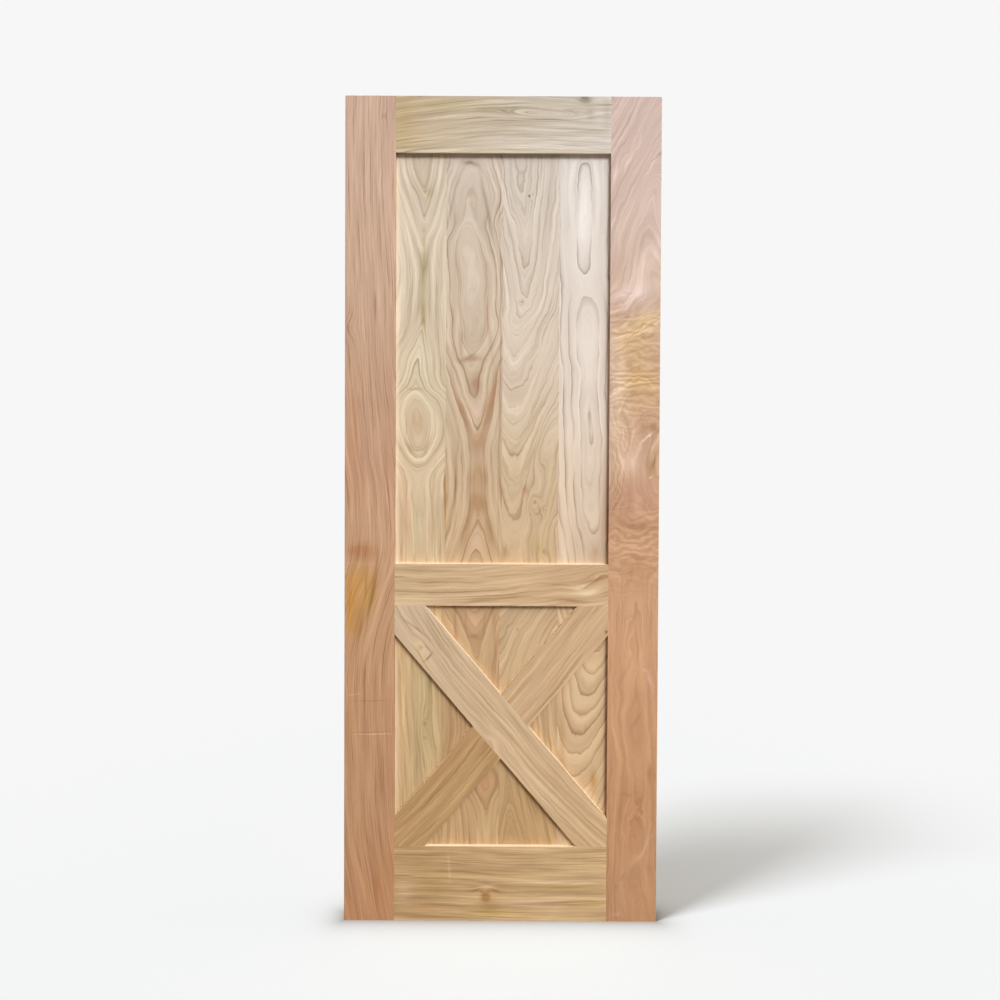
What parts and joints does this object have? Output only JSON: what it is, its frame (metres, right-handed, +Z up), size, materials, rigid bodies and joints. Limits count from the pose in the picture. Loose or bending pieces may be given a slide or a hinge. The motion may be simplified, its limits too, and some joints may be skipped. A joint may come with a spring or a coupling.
{
  "type": "framed barn door leaf with crossed brace",
  "caption": "Barn-style wooden door leaf: tenoned frame with a middle rail, flat boarded panels, and a crossed brace over the lower panel on each face.",
  "frame": {"origin": "on the hinge edge, at mid thickness, level with the foot of the door", "axes": "+X from the hinge edge to the latch edge, the front faces -Y, +Z up"},
  "size_m": [0.813, 0.04, 2.134],
  "materials": {
    "frame_wood": "satin lacquer",
    "panel_wood": "satin lacquer",
    "brace_wood": "satin lacquer"
  },
  "bodies": {
    "root": {"left_stile": "frame_wood", "right_stile": "frame_wood", "top_rail": "frame_wood", "middle_rail": "frame_wood", "bottom_rail": "frame_wood", "upper_panel_board_1": "panel_wood", "upper_panel_board_2": "panel_wood", "upper_panel_board_3": "panel_wood", "upper_panel_board_4": "panel_wood", "lower_panel_board_1": "panel_wood", "lower_panel_board_2": "panel_wood", "lower_panel_board_3": "panel_wood", "lower_panel_board_4": "panel_wood", "front_whole_brace": "brace_wood", "front_upper_half_brace": "brace_wood", "front_lower_half_brace": "brace_wood", "back_whole_brace": "brace_wood", "back_upper_half_brace": "brace_wood", "back_lower_half_brace": "brace_wood"}
  },
  "joints": []
}
